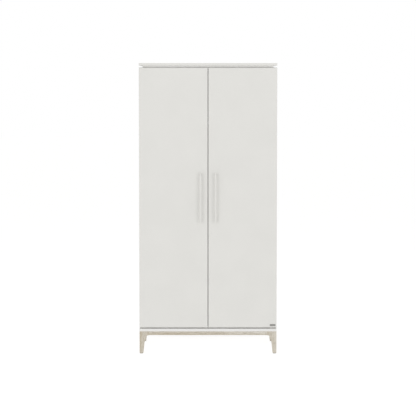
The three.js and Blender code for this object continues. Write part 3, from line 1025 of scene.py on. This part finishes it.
low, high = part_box("clothes_rail")
half_thickness = (high.y - low.y) / 2
tube = bar(low, high, 0, 0.3 * MM, corner=half_thickness * TUBE_ROUNDNESS, steps=10)
tell(make("clothes_rail_tube", [tube], chrome, CARCASS, ("clothes_rail",)))

# %% Rail sockets and wall brackets
for side in SIDES:
    tell(eased("rail_socket_" + side, f"rail_socket_{side}_casting", nickel, 0.5 * MM))
    tell(eased("wall_bracket_" + side, f"wall_bracket_{side}_angle", zinc, 0.3 * MM))

# %% [markdown]
# ## Hinges
# Four concealed hinges carry each door. A pressed cup sits in the door, a cast plate is screwed
# to the side, and a cranked arm on the plate reaches into the cup, where it turns on a pin.
# Only an open door shows them. Their cranks and bores are in the frame already, so all three
# parts are eased copies, and each rides on its own body: the cup with the door, and the arm and
# plate with the carcass.

# %% Hinges
HINGE_PARTS = {  # how each part was made, and its easing
    "cup": ("pressing", 0.3 * MM),
    "arm": ("pressing", 0.5 * MM),
    "plate": ("casting", 0.4 * MM),
}
HINGES = [(side, number) for side in SIDES for number in range(1, 5)]
hinges = []
for side, number in HINGES:
    for part, (made_by, ease) in HINGE_PARTS.items():
        node = f"hinge_{part}_{side}_{number}"
        hinges.append(eased(node, f"{node}_{made_by}", nickel, ease))
tell(*hinges)

# %% [markdown]
# ## Screw heads
# A screw head is a shallow dome with a cross cut into it. A cross could be cut by boolean, but
# a boolean leaves long thin faces on something this small. Here the head is a height over a
# disc: the dome falls away with the square of the distance from the middle, and the cross is a
# smooth step down near either of two lines. It is worked out lying flat and then turned to face
# out of its surface.

# %% Screw heads
RINGS = 7
SPOKES = 24
DOME_FALL = 0.55  # from the middle to the rim, as a share of the head's height
CROSS_DEPTH = 0.55  # as a share of the head's height
CROSS_END = 0.62  # as a share of the head's radius
CROSS_EDGE = 0.12  # width of the cross's sloping edges, as a share of the radius


def screw_head(at, facing, radius, height):
    """A disc of rings and spokes. Height = dome - cross, where the dome is 1 - fall * r^2 and
    the cross is a smooth step near the lines x = 0 and y = 0 that ends at a share of r."""
    r = np.linspace(0, 1, RINGS)[:, None]
    turn = np.arange(SPOKES)[None] * 2 * np.pi / SPOKES
    x, y = r * np.cos(turn), r * np.sin(turn)
    dome = 1 - DOME_FALL * r**2
    near = np.clip(1.5 - np.minimum(abs(x), abs(y)) / CROSS_EDGE, 0, 1)
    cross = CROSS_DEPTH * near * np.clip((CROSS_END - r) / CROSS_EDGE, 0, 1)
    up = height * (dome - cross)
    under = np.stack([radius * x[-1:], radius * y[-1:], 0 * x[-1:]], -1)
    rings = np.concatenate([np.stack([radius * x, radius * y, up], -1), under])
    facing = np.array(facing, float)
    across = np.roll(facing, 1)
    basis = np.stack([across, np.cross(facing, across), facing])
    return shell(rings @ basis + np.array(at))


print("a screw head has", RINGS * SPOKES, "points over its dome")

# %% [markdown]
# ## Hinge screws
# Two screws hold a cup's flange to the door, two hold the plate's wings to the side, and two
# more hold the arm on its plate. The cup's screws turn with the door, so they are a piece of
# their own.

# %% Hinge screws
CUP_SCREW = {"radius": 3.8 * MM, "height": 1.3 * MM}
PLATE_SCREW = {"radius": 3.6 * MM, "height": 1.2 * MM}
ARM_SCREW = {"radius": 3.2 * MM, "height": 1.0 * MM}
CUP_SCREW_IN = 7.5 * MM  # from the flange's inner edge
CUP_SCREW_OUT = 24 * MM  # above and below the hinge's middle
PLATE_SCREW_OUT = 16 * MM
PLATE_SCREW_FORWARD = 25 * MM  # from the plate's back end
ARM_SCREWS_FORWARD = (8 * MM, 33 * MM)  # from the arm's back end


def hinge_screws(side, number):
    """Two screws in the cup's flange, two in the plate's wings and two in the arm."""
    inward = -SIDES[side]
    boxes = {part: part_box(f"hinge_{part}_{side}_{number}") for part in HINGE_PARTS}
    inner = {part: high.x if inward > 0 else low.x for part, (low, high) in boxes.items()}
    middle = (boxes["cup"][0].z + boxes["cup"][1].z) / 2
    flange_x = inner["cup"] - inward * CUP_SCREW_IN
    flange_y = boxes["cup"][1].y
    plate_y = boxes["plate"][1].y - PLATE_SCREW_FORWARD
    in_cup = [
        screw_head((flange_x, flange_y, middle + up), (0, 1, 0), **CUP_SCREW)
        for up in (-CUP_SCREW_OUT, CUP_SCREW_OUT)
    ]
    in_plate = [
        screw_head((inner["plate"], plate_y, middle + up), (inward, 0, 0), **PLATE_SCREW)
        for up in (-PLATE_SCREW_OUT, PLATE_SCREW_OUT)
    ]
    arm_back = boxes["arm"][1].y
    in_arm = [
        screw_head((inner["arm"], arm_back - forward, middle), (inward, 0, 0), **ARM_SCREW)
        for forward in ARM_SCREWS_FORWARD
    ]
    cup_screws = make(f"hinge_cup_screws_{side}_{number}", in_cup, zinc, BODY[side])
    side_screws = f"hinge_plate_screws_{side}_{number}"
    return cup_screws, make(side_screws, in_plate + in_arm, zinc, CARCASS)


tell(*[screws for side, number in HINGES for screws in hinge_screws(side, number)])

# %% [markdown]
# ## Screws of the handles and wall brackets
# A handle is held from behind: a pan head screw goes through the door into each post. Each wall
# bracket hangs under the inner top by a screw that is driven from below.

# %% Screws of the handles and wall brackets
HANDLE_SCREW = {"radius": 4.2 * MM, "height": 2.2 * MM}
BRACKET_SCREW = {"radius": 4 * MM, "height": 1.8 * MM}
BRACKET_THICKNESS = 2 * MM

door_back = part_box("door_left")[1].y
for side in SIDES:
    heads = [
        screw_head((x, door_back, z), (0, 1, 0), **HANDLE_SCREW) for x, z in post_places[side]
    ]
    tell(make(f"handle_screws_{side}", heads, zinc, BODY[side]))
    low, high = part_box("wall_bracket_" + side)
    middle = (low + high) / 2
    underside = (middle.x, middle.y, high.z - BRACKET_THICKNESS)
    head = screw_head(underside, (0, 0, -1), **BRACKET_SCREW)
    tell(make(f"wall_bracket_screw_{side}", [head], zinc, CARCASS))

# %% [markdown]
# ## Screws of the back and the leg frame
# A row of screws holds the back boards to the inner top, evenly spaced on each board. The leg
# frame is screwed up into the bottom panel, three times through each long rail and twice
# through each short one. Nobody sees them until the wardrobe is moved, but a turned model shows
# them.

# %% Screws of the back
BACK_SCREW = {"radius": 3.6 * MM, "height": 1.6 * MM}
outward = np.arange(50, 426, 125) * MM  # from the middle of the back

low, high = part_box("carcass_top")
back_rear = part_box("back_board_left")[1].y
heads = [
    screw_head((x, back_rear, (low.z + high.z) / 2), (0, 1, 0), **BACK_SCREW)
    for x in (*-outward[::-1], *outward)
]
tell(make("back_board_screws", heads, zinc, CARCASS))

# %% Screws of the leg frame
RAIL_SCREW = {"radius": 4 * MM, "height": 1.2 * MM}
RAIL_SCREWS = {  # places along each rail, from its middle
    "front": (-330 * MM, 0, 330 * MM),
    "back": (-330 * MM, 0, 330 * MM),
    "left": (-140 * MM, 140 * MM),
    "right": (-140 * MM, 140 * MM),
}
heads = []
for end, places in RAIL_SCREWS.items():
    low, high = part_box("frame_rail_" + end)
    under = np.array([(low.x + high.x) / 2, (low.y + high.y) / 2, low.z])
    step = np.array([RAIL_GRAIN[end] == "x", RAIL_GRAIN[end] == "y", False], float)
    heads += [screw_head(under + along * step, (0, 0, -1), **RAIL_SCREW) for along in places]
tell(make("frame_rail_screws", heads, zinc, CARCASS))

# %% [markdown]
# ## Shelf pins
# The two lower shelves lie on metal pins, and the unused holes above and below let them be
# moved. A pin is turned from a profile with a collar that stops it in its hole. Its profile
# points inwards, and the pins on the right are the same profile turned the other way.

# %% Shelf pins
PIN_RADIUS = 2.4 * MM
PIN_INSET = 60 * MM  # from the shelf's front and back edges
PIN_IN_HOLE = 6 * MM
PIN_LENGTH = 9 * MM  # out of the side
PIN_TIP = 1 * MM
COLLAR = {"radius": PIN_RADIUS * 1.7, "start": 0.05 * MM, "end": 1.2 * MM}
PIN_BELOW_SHELF = PIN_RADIUS * 1.05  # from the shelf's underside to the pin's axis


def shelf_pin(at, inward):
    """A pin with a collar against the side and a slanted tip, turned round the line across."""
    profile = [(0, -PIN_IN_HOLE), (PIN_RADIUS, -PIN_IN_HOLE), (PIN_RADIUS, COLLAR["start"])]
    profile += [(COLLAR["radius"], COLLAR["start"]), (COLLAR["radius"], COLLAR["end"])]
    profile += [(PIN_RADIUS, COLLAR["end"]), (PIN_RADIUS, PIN_LENGTH - PIN_TIP)]
    profile += [(PIN_RADIUS * 0.6, PIN_LENGTH), (0, PIN_LENGTH)]
    return turned(np.array(profile) * [1, inward], at, 0, sides=16)


faces_of_sides = [(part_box("side_panel_left")[1].x, 1), (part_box("side_panel_right")[0].x, -1)]
for shelf in ("lower_shelf", "middle_shelf"):
    low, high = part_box(shelf)
    pins = [
        shelf_pin((face, y, low.z - PIN_BELOW_SHELF), inward)
        for face, inward in faces_of_sides
        for y in (low.y + PIN_INSET, high.y - PIN_INSET)
    ]
    tell(make(shelf + "_pins", pins, nickel, CARCASS))

# %% [markdown]
# ## Cam caps
# The hat shelf and the inner top are pulled tight to the sides by cam fittings, which are
# turned from below. A plastic cap hides each cam, so the cap is all there is to make: a flat
# disc whose rim is rolled over, turned from its profile.

# %% Cam caps
CAP_RADIUS = 8.5 * MM
CAP_HEIGHT = 1.2 * MM
CAP_RIM = 0.5 * MM
CAP_IN_BOARD = 0.1 * MM
CAM_FROM_END = 34 * MM
CAM_FROM_EDGE = 70 * MM


def cam_cap(at):
    """A flat round cap with a rolled rim, facing down."""
    dish = -CAP_HEIGHT + 0.3 * CAP_RIM
    profile = [(0, CAP_IN_BOARD), (CAP_RADIUS, CAP_IN_BOARD)]
    profile += [(CAP_RADIUS, -CAP_HEIGHT + CAP_RIM), (CAP_RADIUS - CAP_RIM, -CAP_HEIGHT)]
    profile += [(CAP_RADIUS - 3 * CAP_RIM, dish), (0, dish)]
    return turned(profile, at, 2, sides=28)


for board in ("hat_shelf", "carcass_top"):
    low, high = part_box(board)
    caps = [
        cam_cap((x, y, low.z))
        for x in (low.x + CAM_FROM_END, high.x - CAM_FROM_END)
        for y in (low.y + CAM_FROM_EDGE, high.y - CAM_FROM_EDGE)
    ]
    tell(make(board + "_cam_caps", caps, plastic, CARCASS))

# %% [markdown]
# ## Door bumpers
# A soft dome near the free top corner of each door meets the inner top and quietens the door.
# It is a quarter of an ellipse turned round the line out of the door, a little lower than the
# gap, so that it doesn't cut into the board when the door is shut.

# %% Door bumpers
BUMPER_RADIUS = 4.5 * MM
BUMPER_IN = 14 * MM  # from the edge where the doors meet
BUMPER_FILL = 0.8  # of the gap behind the door

low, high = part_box("carcass_top")
dome = BUMPER_FILL * (low.y - door_back)
turn = np.linspace(0, np.pi / 2, 6)
rim_to_tip = np.stack([BUMPER_RADIUS * np.cos(turn), dome * np.sin(turn)], -1)
for side, sign in SIDES.items():
    door_low, door_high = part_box("door_" + side)
    meeting = door_low.x if sign > 0 else door_high.x
    at = (meeting + sign * BUMPER_IN, door_back, (low.z + high.z) / 2)
    bumper = turned([(0, 0), *rim_to_tip.tolist()], at, 1, sides=24)
    tell(make("door_bumper_" + side, [bumper], plastic, BODY[side]))

# %% [markdown]
# ## The frame's size
# The finished wardrobe has to stay inside the frame's box, so the frame's box is printed.

# %% The frame's size
print("cad box", [tuple(round(v, 4) for v in corner) for corner in cad_box])
